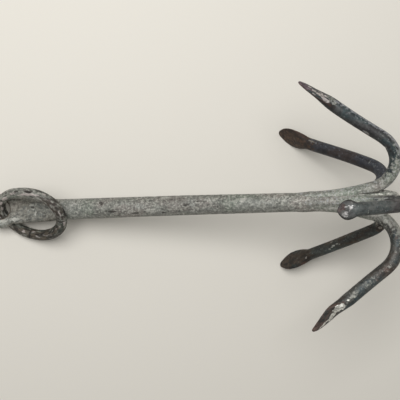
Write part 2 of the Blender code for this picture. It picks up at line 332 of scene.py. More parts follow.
def shankGrid(values):
    # flat-sided ovals along the shank: half-width and half-depth read from their tables and smoothed,
    # with a disc for the eye and a quarter-ellipse round-off at the crown's end
    s = shankStations(values)
    radius, thick = values["eyeRadius"], values["eyeHalfThickness"]
    disc = np.sqrt(np.maximum(radius ** 2 - s ** 2, 0.0))
    width = np.where(s < values["widthAt"][0][0], disc, np.interp(s, *values["widthAt"]))
    depth = np.interp(s, *values["depthAt"])
    fromEnd = np.minimum(s + radius, thick)
    rounded = np.sqrt(np.maximum(thick ** 2 - (thick - fromEnd) ** 2, 0.0))
    depth = np.where(s + radius < thick, rounded, depth)
    even = (s > values["evenFrom"]) & (s < values["end"] - values["endRound"])
    for size in (width, depth):
        size[even] = running(size, values["blendOver"])[even]
    roundOff = np.clip((s - values["end"] + values["endRound"]) / values["endRound"], 0.0, 1.0)
    width, depth = width * np.sqrt(1.0 - roundOff ** 2), depth * np.sqrt(1.0 - roundOff ** 2)
    fade = np.interp(s, (0.0, values["eyeOffsetFade"]), (1.0, 0.0))
    offset = np.interp(s, *values["crookAt"]) - values["eyeOffset"] * fade
    centres = eyeCentre + s[:, None] * alongShank + offset[:, None] * eyeLeft
    return carried(centres, eyeLeft, eyeAbove, stadium(width, depth, values["sides"]))


def holeCutter(values):
    # a waisted drum: its radius grows as a quarter circle towards both faces, as a worn rounded rim does
    thick, reach = values["eyeHalfThickness"], values["drumReach"]
    level = np.sin(np.linspace(-0.5, 0.5, values["drumLevels"]) * math.pi)
    level = np.concatenate([[-reach], level, [reach]])
    radius = values["holeRadius"] + thick * (1.0 - np.sqrt(1.0 - np.clip(level, -1.0, 1.0) ** 2))
    centres = eyeCentre + (level * thick)[:, None] * eyeAbove
    return carried(centres, alongShank, eyeLeft, ovals(radius, radius, values["sides"]))


def pierced(piece, cutter):
    # cuts the hole, applies the cut and removes the cutter
    cut = piece.modifiers.new("hole", "BOOLEAN")
    cut.operation, cut.object, cut.solver = "DIFFERENCE", cutter, "EXACT"
    shape = bpy.data.meshes.new_from_object(piece.evaluated_get(bpy.context.evaluated_depsgraph_get()))
    piece.modifiers.clear()
    piece.data = shape
    shape.name = piece.name
    bpy.data.objects.remove(cutter)


def readBack(items, field):
    # a mesh's points or normals as rows of three numbers
    values = np.empty(len(items) * 3, np.float32)
    items.foreach_get(field, values)
    return values.reshape(-1, 3).astype(float)


# the crease where one bar laps on another: its depth, and how far from the other bar's skin it fades
lapCrease = {"depth": 0.0005, "reach": 0.0010}


def creaseAt(points, lines):
    # the bell curve of the gap to the nearest other bar over the crease's reach, the gap being the distance
    # to that bar's centreline less its radius
    flat = points.reshape(-1, 3)
    gap = np.full(len(flat), np.inf)
    for centres, radii in lines:
        square = np.sum(flat ** 2, axis=1)[:, None] + np.sum(centres ** 2, axis=1) - 2.0 * flat @ centres.T
        gap = np.minimum(gap, np.min(np.sqrt(np.maximum(square, 0.0)) - radii, axis=1))
    return np.exp(-(gap / lapCrease["reach"]) ** 2).reshape(points.shape[:-1])


def shankLine(values):
    # the round part of the shank at the crown, as centres and radii
    s = np.arange(*values["crownLine"])
    return eyeCentre + s[:, None] * alongShank, np.interp(s, *values["depthAt"])


def shankSurface(points, values, rootLines):
    # how far each point is pushed in, by lumps and crust, fainter on the blade, by pits and creases, and not
    # at all in the hole; and where each coat lies: patches of noise and marks, kept to their bands
    s, side, above = ((points - eyeCentre) @ way for way in (alongShank, eyeLeft, eyeAbove))
    place = np.stack([s, side, above], axis=1)
    stretched = place * values["stretch"]
    ragged = grained(place, values, "ragged")
    fromHole = np.sqrt(s ** 2 + side ** 2)
    inHole = falling(fromHole, *values["holeRim"])
    bar = rising(s, *values["bar"])
    crease = creaseAt(points, rootLines) * rising(s, *values["crown"])
    marks = {key: spots(s / millimetre, side / millimetre, values[key], ragged) * (above > 0.0)
             for key in ("pits", "bright")}
    pitted, pale, soilAndShade = (patches(stretched, values, key) * bar
                          for key in ("pitPatches", "palePatches", "soilPatches"))
    pits = most(pitted, marks["pits"])
    pale = most(pale, marks["bright"])
    # soil in pits and patches, and painted shade along the crease where the tines lap on the crown
    soilAndShade = most(soilAndShade, marks["pits"], values["pitSoil"] * pitted, values["creaseSoilAndShade"] * crease)
    calm = patches(stretched, values, "calmPatches") * (1.0 - rising(s, *values["crownUneven"]))
    height = grained(stretched, values, "lumps") + grained(place, values, "crust")
    height *= 1.0 - falling(s, *values["bladeSmooth"])
    height -= values["pitDepth"] * pits + lapCrease["depth"] * crease
    return height * (1.0 - inHole), {
        "place": place, "rust": inHole, "zinc": 1.0 - values["pitThinning"] * pits,
        "rubbed": rising(s, *values["rubbedFrom"]) * falling(s, *values["rubbedTo"]) * (1.0 - pale),
        "bright": values["paleShare"] * pale + rising(s, *values["chalk"]),
        # painted shade on the wall inside the eye's hole
        "dirtAndShade": most(soilAndShade, falling(fromHole, *values["holeShade"])),
        "calm": most(calm, falling(s, *values["bladeCalm"])),
        "tone": np.interp(s, *values["toneAt"]) + grained(stretched, values, "cloud"),
    }


def makeShank(values, rootLines):
    # the pierced bar, its points moved along their normals by the surface's height
    piece = meshFromGrid("shankForged", shankGrid(values), False, {})
    pierced(piece, meshFromGrid("holeCutter", holeCutter(values), False, {}))
    points = readBack(piece.data.vertices, "co")
    normals = readBack(piece.data.vertex_normals, "vector")
    height, layers = shankSurface(points, values, rootLines)
    points = insideBox(points + normals * height[:, None])
    piece.data.vertices.foreach_set("co", points.astype(np.float32).ravel())
    writeLayers(piece, layers)
    return piece


# every tine's section runs by degrees: 0 across its bend, 90 on the bend's inner side, 270 on its outer side;
# by share of the spade's length from the tip, its tables give half-thickness and share of the head's width
tineShape = {
    "barRadius": 0.008, "rootRadius": 0.006, "flareLength": 0.086, "flareDegrees": 14.9,
    "leadIn": 0.03, "leadEnd": 0.01, "leadSink": 0.003, "fineStep": 0.00025, "lineEvery": 6,
    "step": 0.00075, "tipLength": 0.006, "tipRows": 14, "sides": 72, "bendBlend": 0.012, "swayBlend": 15,
    "spadeShare": (0.00, 0.06, 0.17, 0.31, 0.45, 0.6, 0.74, 0.85, 0.93, 1.00),
    "spadeThick": (0.0012, 0.0018, 0.002, 0.0024, 0.0034, 0.0056, 0.0074, 0.0079, 0.008, 0.008),
    "spadeWidth": (0.18, 0.4, 0.74, 0.95, 1.00, 0.92, 0.76, 0.55, 0.5, 0.56),
    "fineShares": (-0.1, 1.3, 561), "spadeBlend": 41, "barAfter": 0.95, "neckFrom": (0.5, 0.8),
    "pointTo": (0.1, 0.75), "twistTo": (0.45, 1), "armFrom": (0.8, 1.00), "fullerFrom": (0, 0.06),
    "tipRound": 0.0022, "tipLeast": 0.02, "stretch": (0.5, 1, 1), "pitDepth": 0.00022,
    "nickDepth": 0.0005, "faintOver": (0.05, 0.35), "crustLeast": 0.4, "spadeTo": (0.78, 1.02),
    "rootFrom": (0.045, 0.075), "fleckTo": (0.3, 1.2), "salts": (0, 0.5, 0.2), "zincTone": (0.5, 1, 0.3),
    "rimShadeFrom": (0.6, 0.97), "edgeFrom": (0.86, 0.99), "outerZinc": 0.3, "raggedZinc": 0.12,
    "rustedAway": 0.7, "spadeFleckLoss": 0.7, "pitSoil": 0.45, "innerShade": 0.25,
    "ragged": (0.0035, 60, 2, 0, 1), "lumps": (0.022, 0, 2, 1, 0.00026),
    "crust": (0.004, 40, 3, 1, 0.0002), "cloud": (0.03, 90, 2, 0, 0.1),
    "pitPatches": (0.0055, 80, 0.5, 0.95),
}
# a tine leaves the shank at "start", "around" degrees round it, and bends with the radius "bend" until its
# arm points back at "hook" degrees to the shank; the arm curls by "curl"; the spade is "head" wide, "spade"
# long and turned by "twist"; "fuller" thickens the arm, "neck" is its least half-width and "pointed" narrows
# the tip; "sway" is millimetres from the tip, then sideways; the zinc ends over "zincTo", in shares of the
# bend; a fleck is (strength, degrees, half-width); "pale" is the zinc marks' chalk, and the rim share is
# how much painted shade darkens the spade's edges; marks run by millimetres from the tip and degrees round
# the section
# what a tine leaves out is as here
plainTine = {
    "twist": 0, "fuller": 1, "neck": 0, "pointed": 0, "sway": ((0, 200), (0, 0)),
    "pale": 0, "rimShade": 0.3, "bareAndGlint": ("#9A948C", "#6A655E")}
tines = {
    "tineTop": {
        "node": "tine_top", "around": -4.4, "start": 0.4342, "bend": 0.0391, "hook": 34.8,
        "arm": 0.0723, "curl": 6.5, "head": 0.0236, "spade": 0.03, "neck": 0.008, "seed": 21,
        "zincTo": (-0.1, 0.55), "flecks": ((0.1, 0, 180),),
        # the worn marks on the head shape a painted highlight
        "worn": (
            (15.2, 281, 3, 13, 0.62, 2), (8.2, 242, 5, 20, 0.72, 3), (12.5, 266, 1.6, 7, 0.6),
            (12.7, 297, 1.4, 6, 0.65), (9.4, 291, 2.2, 6, 0.68), (16.6, 297, 1.6, 6, 0.65)),
        "zinc": ((19.7, 316, 5, 24, 0.35), (34.2, 240, 0.9, 36, 0.75), (166, 54, 26, 8, 0.8)),
        "rust": ((3, 305, 7, 60, 0.75), (0, 90, 22, 80, 0.7)),
        # the head's dark marks at its rims and round its highlight, and the one along the crease at 164 mm,
        # are painted shade
        "dark": (
            (12.5, 268, 3, 7, 0.7), (26, 350, 9, 20, 0.7), (14, 348, 12, 22, 0.8), (12, 196, 12, 20, 0.8),
            (164, 40, 26, 8, 1), (9, 312, 7, 22, 0.5)),
        "nicks": (
            (34.2, 240, 0.8, 60, 0.4), (17, 262, 2, 12, 0.5), (13.4, 285, 1.6, 7, 0.35),
            (16.5, 275, 1.6, 7, 0.35), (9.5, 262, 1.8, 9, 0.35), (164, 40, 26, 7, 0.6)),
        "scale": ("#4E4E4D", "#686865", "#333332", "#48504F", "#4D4848"),
        "brown": ("#463836", "#5A4A46", "#2A2120"), "fleck": ("#85878A", "#A4A6A8", "#6A6C6C"),
        "bareAndGlint": ("#C6C4C2", "#5A5856"), "pale": 0.6, "rimShade": 0.52,
    },
    "tineLeftUpper": {
        "node": "tine_left_upper", "around": 70, "start": 0.4227, "bend": 0.0364, "hook": 36.6,
        "arm": 0.1207, "curl": -0.8, "head": 0.026, "spade": 0.058, "twist": -5, "seed": 22,
        "sway": ((0, 36, 60, 80, 100, 130, 160), (0, 0, -1.1, -1.3, -1, -0.4, 0)),
        "zincTo": (0.05, 1.05), "flecks": ((0.16, 0, 180), (0.62, 274, 58)),
        # the worn marks here are the rubbed facet, painted bright as a highlight
        "worn": (
            (34.5, 223, 11.5, 23, 0.95, -3.4), (24, 248, 8, 15, 0.75, -2), (15.3, 276, 3, 11, 0.68),
            (33, 254, 9, 16, 0.56, -3), (22.8, 212, 3.5, 12, 0.7)),
        "zinc": (
            (102.3, 138, 6, 22, 0.9), (47, 214, 6, 26, 0.6), (43, 248, 8, 22, 0.7),
            (134.3, 115, 6, 30, 0.5)),
        "rust": ((0, 240, 20, 180, 0.85),),
        "dark": ((33, 172, 13, 14, 0.9, -2), (50, 180, 6, 16, 0.7), (12, 190, 8, 10, 0.6)),
        "nicks": ((102.3, 140, 3, 30, 1), (134.3, 115, 5, 30, 2), (48, 262, 2.5, 20, 1)),
        "scale": ("#353636", "#505251", "#1F1F1F", "#344345", "#393637"),
        "brown": ("#544248", "#6F5E63", "#30262A"), "fleck": ("#8A8B8E", "#ADACAE", "#66686A"),
        "bareAndGlint": ("#CDC5C1", "#6F6965"), "pale": 0.5, "rimShade": 0.2,
    },
    "tineLeftLower": {
        "node": "tine_left_lower", "around": 137.6, "start": 0.4141, "bend": 0.027, "hook": 32.7,
        "arm": 0.1543, "curl": 0.2, "head": 0.0325, "spade": 0.058, "fuller": 1.07, "seed": 23,
        "sway": ((0, 25, 45, 60, 75, 100, 125, 145, 165), (-2.3, -2.3, -2, -1.7, -1.1, 0, 0.9, 0.7, 0)),
        "zincTo": (-0.2, 0.5), "flecks": ((0.12, 0, 180), (0.27, 185, 70)),
        # the worn mark is a painted highlight along the shoulder's upper edge
        "worn": ((58.5, 167, 5.5, 10, 0.95),),
        "zinc": ((68, 160, 5, 12, 0.45), (158, 150, 7, 24, 0.35)),
        "rust": ((20, 110, 46, 400, 1),),
        # the dark mark at 52 mm is painted shade across the neck
        "dark": ((52, 110, 3, 40, 0.8), (75, 70, 14, 14, 0.5), (7, 130, 7, 18, 0.6), (44, 62, 10, 12, 0.6)),
        "nicks": ((54, 128, 2.2, 14, 1), (31, 96, 3, 16, 0.7), (84, 120, 3, 20, 0.8)),
        "scale": ("#333135", "#47474C", "#201F20", "#353B45", "#3E322D"),
        "brown": ("#39291D", "#5B4432", "#201710"), "fleck": ("#5A5E66", "#74777C", "#484B50"),
    },
    "tineRightLower": {
        "node": "tine_right_lower", "around": -140.6, "start": 0.4132, "bend": 0.024, "hook": 34.6,
        "arm": 0.1552, "curl": 6, "head": 0.0305, "spade": 0.058, "seed": 24,
        "sway": ((0, 15, 35, 50, 70, 100, 160), (1.2, 1.6, 1, 0.8, 0.8, 0.5, 0)),
        "zincTo": (-0.2, 0.5), "flecks": ((0.12, 0, 180), (0.2, 60, 60)),
        "worn": ((48, 36, 2.4, 12, 0.9), (177, 50, 8, 20, 0.65, 1), (172, 8, 4, 26, 0.6)),
        "zinc": (
            (95.4, 48, 2.6, 10, 0.8), (91, 38, 2.2, 8, 0.8), (100, 54, 2.8, 9, 0.75), (87, 28, 2, 8, 0.7),
            (104, 42, 2, 8, 0.6), (27, 78, 3, 8, 0.5), (92, 96, 3, 14, 0.5), (118, 92, 4, 12, 0.4),
            (177, 48, 5, 26, 0.9)),
        "rust": (
            (4, 110, 24, 400, 0.85), (32, 110, 24, 400, 0.5), (168, 10, 9, 50, 0.95),
            (158, 92, 8, 34, 0.9)),
        "dark": (
            (178, 24, 4, 30, 1), (34, 105, 5, 25, 0.5), (108, 60, 6, 30, 0.7), (70, 70, 8, 20, 0.5),
            (140, 40, 7, 16, 0.6)),
        "nicks": ((35, 122, 3, 14, 0.9), (90, 92, 3, 20, 0.8), (22, 100, 3, 16, 0.6)),
        "scale": ("#30302C", "#464A45", "#1B1B19", "#2F3B3C", "#43311F"),
        "brown": ("#30271F", "#4E4034", "#1A1511"), "fleck": ("#585D5A", "#70746F", "#464945"),
    },
    "tineRightUpper": {
        "node": "tine_right_upper", "around": -75.6, "start": 0.4202, "bend": 0.0392, "hook": 38.7,
        "arm": 0.1168, "curl": -3.6, "head": 0.0278, "spade": 0.06, "twist": 24, "seed": 25,
        "fuller": 1.08, "neck": 0.0091, "pointed": 0.22,
        "sway": ((0, 8, 16, 26, 34, 44, 60, 90, 210, 240, 265, 292),
                 (-0.3, -1.3, -0.2, 1.2, 2.2, 0.6, -0.4, 0, 0, 2.2, 2.2, 0)),
        "zincTo": (0.1, 0.7), "flecks": ((0.12, 0, 180), (0.22, 350, 62)),
        # the worn marks here are the rubbed facet, painted near white as a highlight
        "worn": (
            (41.5, 315, 11.5, 34, 1, 2), (29, 264, 9, 25, 0.94, 4), (16, 250, 10, 13, 0.8, 1),
            (50, 329, 8, 22, 0.5), (62, 350, 7, 22, 0.34)),
        "zinc": ((92, 350, 13, 22, 0.4), (66, 352, 10, 28, 0.55), (119.8, 348, 3, 16, 0.9)),
        "rust": ((2, 290, 26, 180, 0.8), (108, 340, 13, 34, 0.6), (150, 10, 12, 26, 0.35)),
        "dark": ((24, 215, 16, 10, 0.7, 2), (36, 352, 9, 14, 0.6), (14, 300, 7, 18, 0.4)),
        "nicks": ((47, 338, 3, 12, 0.8), (70, 20, 4, 25, 0.8)),
        "scale": ("#42423F", "#605F5A", "#282825", "#38464A", "#4E3F37"),
        "brown": ("#594842", "#705C54", "#382D2A"), "fleck": ("#85857F", "#A2A199", "#666660"),
        # the near-white rubbed colour is painted highlight on the facet
        "bareAndGlint": ("#F1F0E7", "#85837A"), "pale": 0.5, "rimShade": 0.12,
    },
}
for tineName, tineValues in tines.items():
    tines[tineName] = {**plainTine, **tineValues}


def tineLine(tine, shape):
    # the centreline's direction turns out to the flare, round the bend and along the curled arm; the line
    # itself is that direction summed up
    flared = math.radians(shape["flareDegrees"])
    turned = math.radians(180.0 - tine["hook"])
    curled = turned + math.radians(tine["curl"])
    bendEnd = shape["flareLength"] + tine["bend"] * (turned - flared)
    total = bendEnd + tine["arm"]
    fine = shape["fineStep"]
    s = np.arange(-shape["leadIn"], total + 0.5 * fine, fine)
    angle = np.interp(s, (0.0, shape["flareLength"], bendEnd, total), (0.0, flared, turned, curled))
    angle = running(angle, int(shape["bendBlend"] / fine) // 2 * 2 + 1)
    along, out = (np.concatenate([[0.0], np.cumsum(0.5 * (part[1:] + part[:-1]) * fine)])
                  for part in (np.cos(angle), np.sin(angle)))
    atStart = np.searchsorted(s, 0.0)
    along += tine["start"] - along[atStart]
    out += shape["rootRadius"] - out[atStart]
    out -= falling(s, -shape["leadIn"], shape["leadEnd"], shape["leadSink"])
    return s, angle, along, out, bendEnd, total


def tineWays(tine):
    # the direction out of the shank in the tine's own plane, and the one across that plane
    around = math.radians(tine["around"])
    outward = aboveShank * math.cos(around) + leftOfShank * math.sin(around)
    across = leftOfShank * math.cos(around) - aboveShank * math.sin(around)
    return outward, across


def rootLine(tine, shape):
    # the tine's centres and radii from its start to the end of its bend
    s, angle, along, out, bendEnd, total = tineLine(tine, shape)
    kept = np.flatnonzero((s > 0.0) & (s < bendEnd))[::shape["lineEvery"]]
    centres = eyeCentre + along[kept, None] * alongShank + out[kept, None] * tineWays(tine)[0]
    return centres, np.full(len(kept), shape["barRadius"])


def tineStations(total, shape):
    # even steps, closing up over the last few millimetres so that the tip rounds off
    even = np.arange(-shape["leadIn"], total - shape["tipLength"], shape["step"])
    closing = 1.0 - np.sin(np.linspace(0.0, 0.5 * math.pi, shape["tipRows"]))
    return np.concatenate([even, total - shape["tipLength"] * closing])


def tineProfile(tine, shape, s, total, share):
    # ellipses whose half-sizes are read from the spade's tables, widened to the neck and smoothed, then
    # narrowed to the point, thickened along the arm and closed as a circle at the tip
    fine = np.linspace(*shape["fineShares"])
    thick = running(np.interp(fine, shape["spadeShare"], shape["spadeThick"]), shape["spadeBlend"])
    wide = 0.5 * tine["head"] * np.interp(fine, shape["spadeShare"], shape["spadeWidth"])
    wide = most(wide, rising(fine, *shape["neckFrom"], tine["neck"]))
    wide = running(np.where(fine > shape["barAfter"], shape["barRadius"], wide), shape["spadeBlend"])
    fuller = 1.0 + rising(share, *shape["armFrom"], tine["fuller"] - 1.0) * rising(s, *shape["fullerFrom"])
    fromTip = np.clip((total - s) / shape["tipRound"], 0.0, 1.0)
    fuller *= np.maximum(np.sqrt(fromTip * (2.0 - fromTip)), shape["tipLeast"])
    width = np.interp(share, fine, wide) * (1.0 - falling(share, *shape["pointTo"], tine["pointed"]))
    return ovals(width * fuller, np.interp(share, fine, thick) * fuller, shape["sides"])


def tineGrid(tine, shape):
    # the profile carried along the centreline, with the spade turned by its twist and the line pushed
    # sideways by its sway
    outward, across = tineWays(tine)
    fineS, *fineLine, bendEnd, total = tineLine(tine, shape)
    s = tineStations(total, shape)
    angle, along, out = (np.interp(s, fineS, values) for values in fineLine)
    share = (total - s) / tine["spade"]
    profile = tineProfile(tine, shape, s, total, share)
    twist = falling(share, *shape["twistTo"], math.radians(tine["twist"]))
    sway = running(np.interp(total - s, *(millimetre * np.array(tine["sway"]))), shape["swayBlend"])
    centres = eyeCentre + along[:, None] * alongShank + out[:, None] * outward + sway[:, None] * leftOfShank
    normal = np.cos(angle)[:, None] * outward - np.sin(angle)[:, None] * alongShank
    turnedAcross = np.cos(twist)[:, None] * across + np.sin(twist)[:, None] * normal
    turnedUp = np.cos(twist)[:, None] * normal - np.sin(twist)[:, None] * across
    grid = carried(centres, turnedAcross, turnedUp, profile)
    place = np.stack([np.broadcast_to(s[:, None], grid.shape[:2]), *profile], axis=-1)
    return grid, place, share[:, None], bendEnd, total


def makeTine(name, tine, shape, otherLines):
    # the grid's points pushed in along their normals by lumps, crust, pits, creases and nicks, fainter at the
    # tip; the zinc ends in the bend, later on its outer side, and the other coats lie at their marks
    grid, place, share, bendEnd, total = tineGrid(tine, shape)
    degrees = np.broadcast_to(middlesOf(360.0, shape["sides"]), grid.shape[:2])
    outer, edgewise = -np.sin(np.radians(degrees)), np.abs(np.cos(np.radians(degrees)))
    s = place[..., 0]
    onSpade = falling(share, *shape["spadeTo"])
    stretched = place * shape["stretch"]
    noises = {**shape, "seed": tine["seed"]}
    ragged = grained(place, noises, "ragged")
    marks = {key: spots((total - s) / millimetre, degrees, tine[key], ragged)
             for key in ("worn", "zinc", "rust", "dark", "nicks")}
    crease = creaseAt(grid, otherLines) * rising(s, *shape["rootFrom"])
    bend = (s - shape["flareLength"]) / (bendEnd - shape["flareLength"])
    zinc = falling(bend - shape["outerZinc"] * outer + shape["raggedZinc"] * ragged, *tine["zincTo"])
    zinc = most(zinc, marks["zinc"]) * (1.0 - shape["rustedAway"] * marks["rust"])
    strength, middle, halfWidth = np.array(tine["flecks"]).T
    away = np.abs(wrapped(degrees[..., None] - middle)) / halfWidth
    flecks = np.max(falling(away, *shape["fleckTo"], strength), axis=-1)
    flecks = flecks * (1.0 - shape["spadeFleckLoss"] * onSpade) + rising(zinc, *shape["salts"])
    pits = patches(stretched, noises, "pitPatches")
    height = grained(place, noises, "crust") * np.interp(zinc, (0.0, 1.0), (shape["crustLeast"], 1.0))
    height += grained(stretched, noises, "lumps") - shape["pitDepth"] * pits
    height -= lapCrease["depth"] * crease + shape["nickDepth"] * marks["nicks"]
    height *= np.clip(share, *shape["faintOver"]) / shape["faintOver"][1]
    tone = 1.0 + grained(stretched, noises, "cloud") + rising(zinc, *shape["zincTone"])
    tone += shape["innerShade"] * np.minimum(outer, 0.0)
    layers = {
        "place": place, "zinc": zinc, "rust": marks["rust"], "worn": marks["worn"],
        "bright": most(flecks, tine["pale"] * marks["zinc"]),
        "edge": onSpade * rising(edgewise, *shape["edgeFrom"]),
        # soil in pits, the dark marks, and painted shade along the crease where the tine laps on the other
        # bars
        "dirtAndShade": most(shape["pitSoil"] * pits, marks["dark"], crease),
        # painted shade darkens the spades' edges
        "tone": tone - onSpade * rising(edgewise, *shape["rimShadeFrom"], tine["rimShade"]),
    }
    return meshFromGrid(name, insideBox(grid + outwardOf(grid, False) * height[..., None]), False, layers)


# the tables run by degrees round the ring: millimetres out of true, millimetres thicker, the coats' shares;
# bands are degrees from where it is worn, and marks run by degrees round the ring and round the wire
ringValues = {
    "wireRadius": 0.00715, "wornAtDegrees": 174, "wornThinner": (32, 62, 0.00075),
    "wornTo": (18, 45),
    "longRadius": 0.0497, "shortRadius": 0.0391, "centreFromEye": (0.0442, -0.0073, 0.0194),
    "tiltDegrees": 46.3, "uphillDegrees": 56.7, "ovalDegrees": 37.7,
    "bentAt": ((0, 15, 35, 55, 70, 85, 100, 115, 135, 155, 230, 255, 280, 300, 320, 335, 350),
               (1, 3.5, 5, 3.5, 0.5, -0.9, -1.6, -1.6, -0.6, 0, 0, -1.2, -2.6, -2.9, -2.7, -1.8, -0.3)),
    "thickenedAt": ((0, 60, 85, 125, 150, 230, 265, 300, 335), (0.1, 0, -0.5, -0.5, 0, 0, 0.4, 0.5, 0.3)),
    "stations": 560, "sides": 72, "tableBlend": 61, "drawnIn": 0.5, "pitDepth": 0.00035,
    "gougeDepth": 0.0016, "wornRoughness": 0.15, "zincLoss": 0.5, "wornRubbed": 0.35, "pitSoil": 0.7,
    "markSoil": 1.2,
    "seed": 61, "ragged": (0.0032, 3, 2, 0, 1), "lumps": (0.0075, 0, 3, 0.3, 0.00026),
    "cloud": (0.02, 30, 2, 0, 0.08), "pitPatches": (0.0062, 9, 0.4, 0.9),
    "bright": (
        (72, 65, 21, 13, 1, 1.05), (47, 6, 3.5, 12, 0.9), (100, 62, 8, 20, 0.6), (125, 98, 10, 26, 0.85),
        (145, 112, 9, 24, 0.8), (160, 130, 9, 30, 0.6), (352, 34, 7, 16, 1), (12, 50, 6, 8, 0.8),
        (345, 80, 5, 16, 0.5), (239, 136, 5, 22, 0.7), (262, 160, 5, 12, 0.7),
        (290, 116, 10, 7, 0.8, -1.2), (272, 112, 6, 9, 0.7, -1.5), (303, 106, 6, 8, 0.6, -2),
        (330, 110, 5, 10, 0.5)),
    "dark": (
        (72, 36, 6, 15, 1), (94, 36, 6, 9, 0.7), (58, 350, 7, 12, 0.6), (40, 30, 5, 18, 0.5),
        (11, 340, 6, 26, 0.9), (281, 146, 9, 11, 1, 1.6), (307, 140, 9, 13, 1, 1.5),
        (320, 130, 9, 10, 0.9, 2), (253, 130, 2, 80, 1), (356, 90, 1.8, 80, 1), (270, 140, 7, 9, 0.9, 1.5),
        (244, 168, 9, 14, 0.9), (338, 120, 6, 22, 0.8), (225, 120, 8, 30, 0.7), (330, 70, 8, 7, 0.7, 2),
        (118, 70, 5, 8, 0.7), (136, 90, 3, 16, 0.7), (152, 110, 4, 12, 0.8)),
    "gouges": (
        (281, 146, 10, 12, 0.9, 1.6), (307, 140, 9, 13, 0.8, 1.5), (320, 130, 9, 10, 0.6, 2),
        (253, 125, 2, 80, 0.6), (356, 90, 1.8, 85, 0.5), (270, 140, 7, 10, 0.7, 1.5),
        (300, 95, 7, 12, 0.5, -1.5), (78, 350, 6, 14, 0.4), (20, 60, 8, 10, 0.5, 1), (72, 36, 5, 12, 0.3)),
    "zincAt": ((0, 30, 45, 60, 105, 125, 150, 200, 235, 260, 330, 345, 360),
               (0.42, 0.34, 0.5, 0.8, 0.8, 0.75, 0.45, 0.45, 0.42, 0.4, 0.34, 0.46, 0.42)),
    "rustAt": ((0, 30, 60, 120, 174, 235, 260, 330, 360),
               (0.25, 0.25, 0.1, 0.15, 0.4, 0.5, 0.55, 0.5, 0.25)),
    "toneAt": ((0, 30, 60, 120, 174, 235, 260, 330, 360),
               (0.72, 0.66, 0.86, 0.86, 0.8, 0.66, 0.62, 0.62, 0.72)),
}


def aroundRing(degrees, values, key):
    # a table in millimetres read round the ring and smoothed, with its two ends joined
    read = np.tile(np.interp(degrees, *values[key], period=360.0), 3)
    return millimetre * running(read, values["tableBlend"])[len(degrees):2 * len(degrees)]


def ringLine(values, degrees):
    # an oval, its long side times the cosine plus its short side times the sine, with each point pushed out
    # of true by the table; and the axis that it lies square to
    tilt, uphill, oval = (math.radians(values[key + "Degrees"]) for key in ("tilt", "uphill", "oval"))
    level = np.array([math.sin(uphill), -math.cos(uphill), 0.0])
    climb = np.array([math.cos(uphill) * math.cos(tilt), math.sin(uphill) * math.cos(tilt), math.sin(tilt)])
    axis = np.cross(level, climb)
    longSide = (level * math.cos(oval) + climb * math.sin(oval)) * values["longRadius"]
    shortSide = (climb * math.cos(oval) - level * math.sin(oval)) * values["shortRadius"]
    angle = np.radians(degrees)[:, None]
    centres = eyeCentre + values["centreFromEye"] + longSide * np.cos(angle) + shortSide * np.sin(angle)
    outward = np.cross(unit(shortSide * np.cos(angle) - longSide * np.sin(angle)), axis)
    return centres + outward * aroundRing(degrees, values, "bentAt")[:, None], axis


def makeRing(values):
    # round wire along the bent oval, thinner where it is worn in the eye, with lumps, pits and gouges along
    # its normals; its layers are read from the tables and the marks
    degrees = 360.0 * np.arange(values["stations"]) / values["stations"]
    centres, axis = ringLine(values, degrees)
    outward = np.cross(unit(np.roll(centres, -1, axis=0) - np.roll(centres, 1, axis=0)), axis)
    fromWorn = np.abs(wrapped(degrees - values["wornAtDegrees"]))
    radius = values["wireRadius"] - falling(fromWorn, *values["wornThinner"])
    radius += aroundRing(degrees, values, "thickenedAt")
    grid = carried(centres, outward, axis, ovals(radius, radius, values["sides"]))
    # the wire's own run is drawn in, so that the grain lies along it
    drawn = grid - values["drawnIn"] * centres[:, None]
    around = np.broadcast_to(degrees[:, None], grid.shape[:2])
    across = np.broadcast_to(middlesOf(360.0, values["sides"]), grid.shape[:2])
    ragged = grained(drawn, values, "ragged")
    marks = {key: spots(around, across, values[key], ragged, 360.0) for key in ("bright", "dark", "gouges")}
    away = rising(fromWorn, *values["wornTo"])[:, None]
    pits = patches(drawn, values, "pitPatches") * away
    height = grained(drawn, values, "lumps") * np.interp(away, (0.0, 1.0), (values["wornRoughness"], 1.0))
    height -= (values["pitDepth"] * pits + values["gougeDepth"] * marks["gouges"]) * away
    zinc = np.interp(around, *values["zincAt"]) * (1.0 - values["zincLoss"] * marks["dark"])
    layers = {
        "place": drawn, "zinc": most(zinc, marks["bright"]), "rust": np.interp(around, *values["rustAt"]),
        "bright": marks["bright"], "rubbed": values["wornRubbed"] * np.broadcast_to(1.0 - away, zinc.shape),
        "dirtAndShade": most(values["pitSoil"] * pits, values["markSoil"] * marks["dark"]),
        "tone": np.interp(around, *values["toneAt"]) + grained(drawn, values, "cloud"),
    }
    grid = insideBox(grid + outwardOf(grid, True) * height[..., None])
    return meshFromGrid("ringWelded", grid, True, layers)


def linear(colour):
    # sRGB hex to linear light, by the standard curve
    channels = np.array([int(colour[i:i + 2], 16) for i in (1, 3, 5)]) / 255.0
    light = np.where(channels <= 0.04045, channels / 12.92, ((channels + 0.055) / 1.055) ** 2.4)
    return (*light.tolist(), 1.0)


def addNode(tree, kind, settings=None, inputs=None):
    # one shader node: its settings, and its inputs as numbers, hex colours or other nodes' sockets
    node = tree.nodes.new("ShaderNode" + kind)
    for key, value in (settings or {}).items():
        setattr(node, key, value)
    for key, value in (inputs or {}).items():
        if isinstance(value, bpy.types.NodeSocket):
            tree.links.new(value, node.inputs[key])
        else:
            node.inputs[key].default_value = linear(value) if isinstance(value, str) else value
    return node


def stepped(tree, value, low, high, strength):
    # the smooth step of a value, from 0 at low to the strength at high
    return addNode(tree, "MapRange", {"interpolation_type": "SMOOTHSTEP"}, {
        "Value": value, "From Min": low, "From Max": high, "To Max": strength}).outputs[0]


